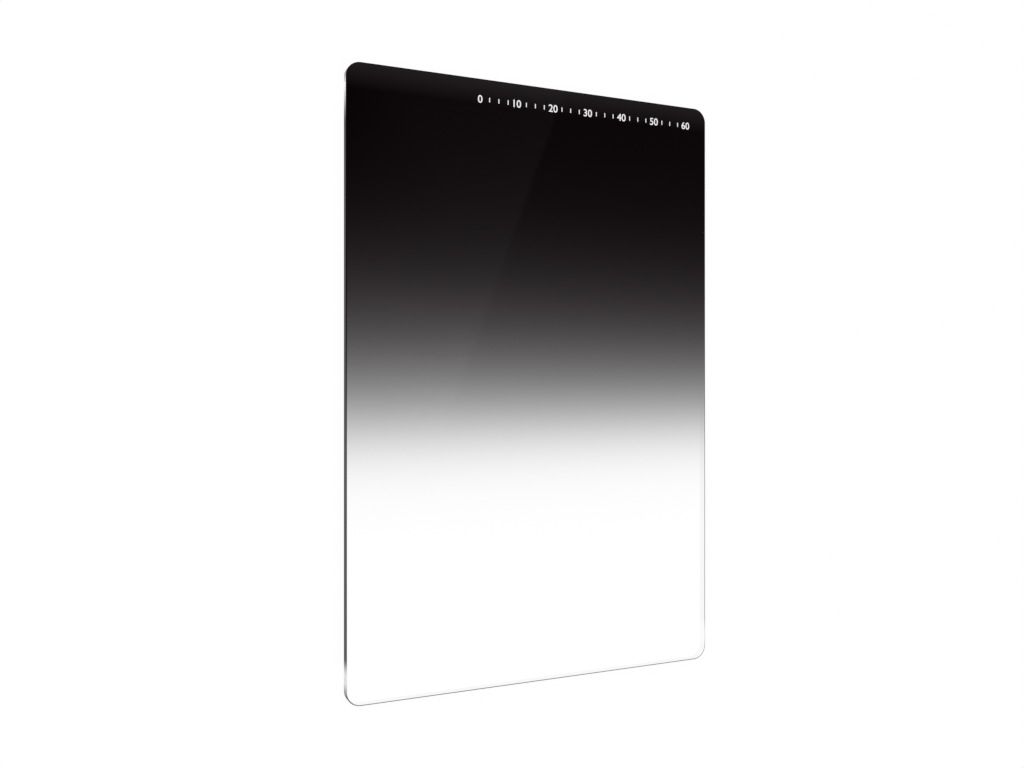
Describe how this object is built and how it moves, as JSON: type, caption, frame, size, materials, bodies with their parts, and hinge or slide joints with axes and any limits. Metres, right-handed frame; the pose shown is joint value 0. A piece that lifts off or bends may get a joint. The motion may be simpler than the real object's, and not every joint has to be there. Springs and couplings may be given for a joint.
{
  "type": "graduated neutral density filter",
  "caption": "Rectangular glass filter plate with rounded corners and a finely bevelled rim, near-black at one end and fading softly to clear at the other.",
  "frame": {"origin": "centre of the rear face, on the surface that the plate lies on", "axes": "+Z out of the coated front face, +Y along the long side towards the dark end, +X across the plate"},
  "size_m": [0.1, 0.15, 0.002],
  "materials": {
    "graduated_glass": "polished optical glass with a neutral coating that fades from near-black at the +Y end to clear",
    "white_ink": "matt white ink, printed on the front face"
  },
  "bodies": {
    "root": {"filter_plate": "graduated_glass"}
  },
  "joints": []
}
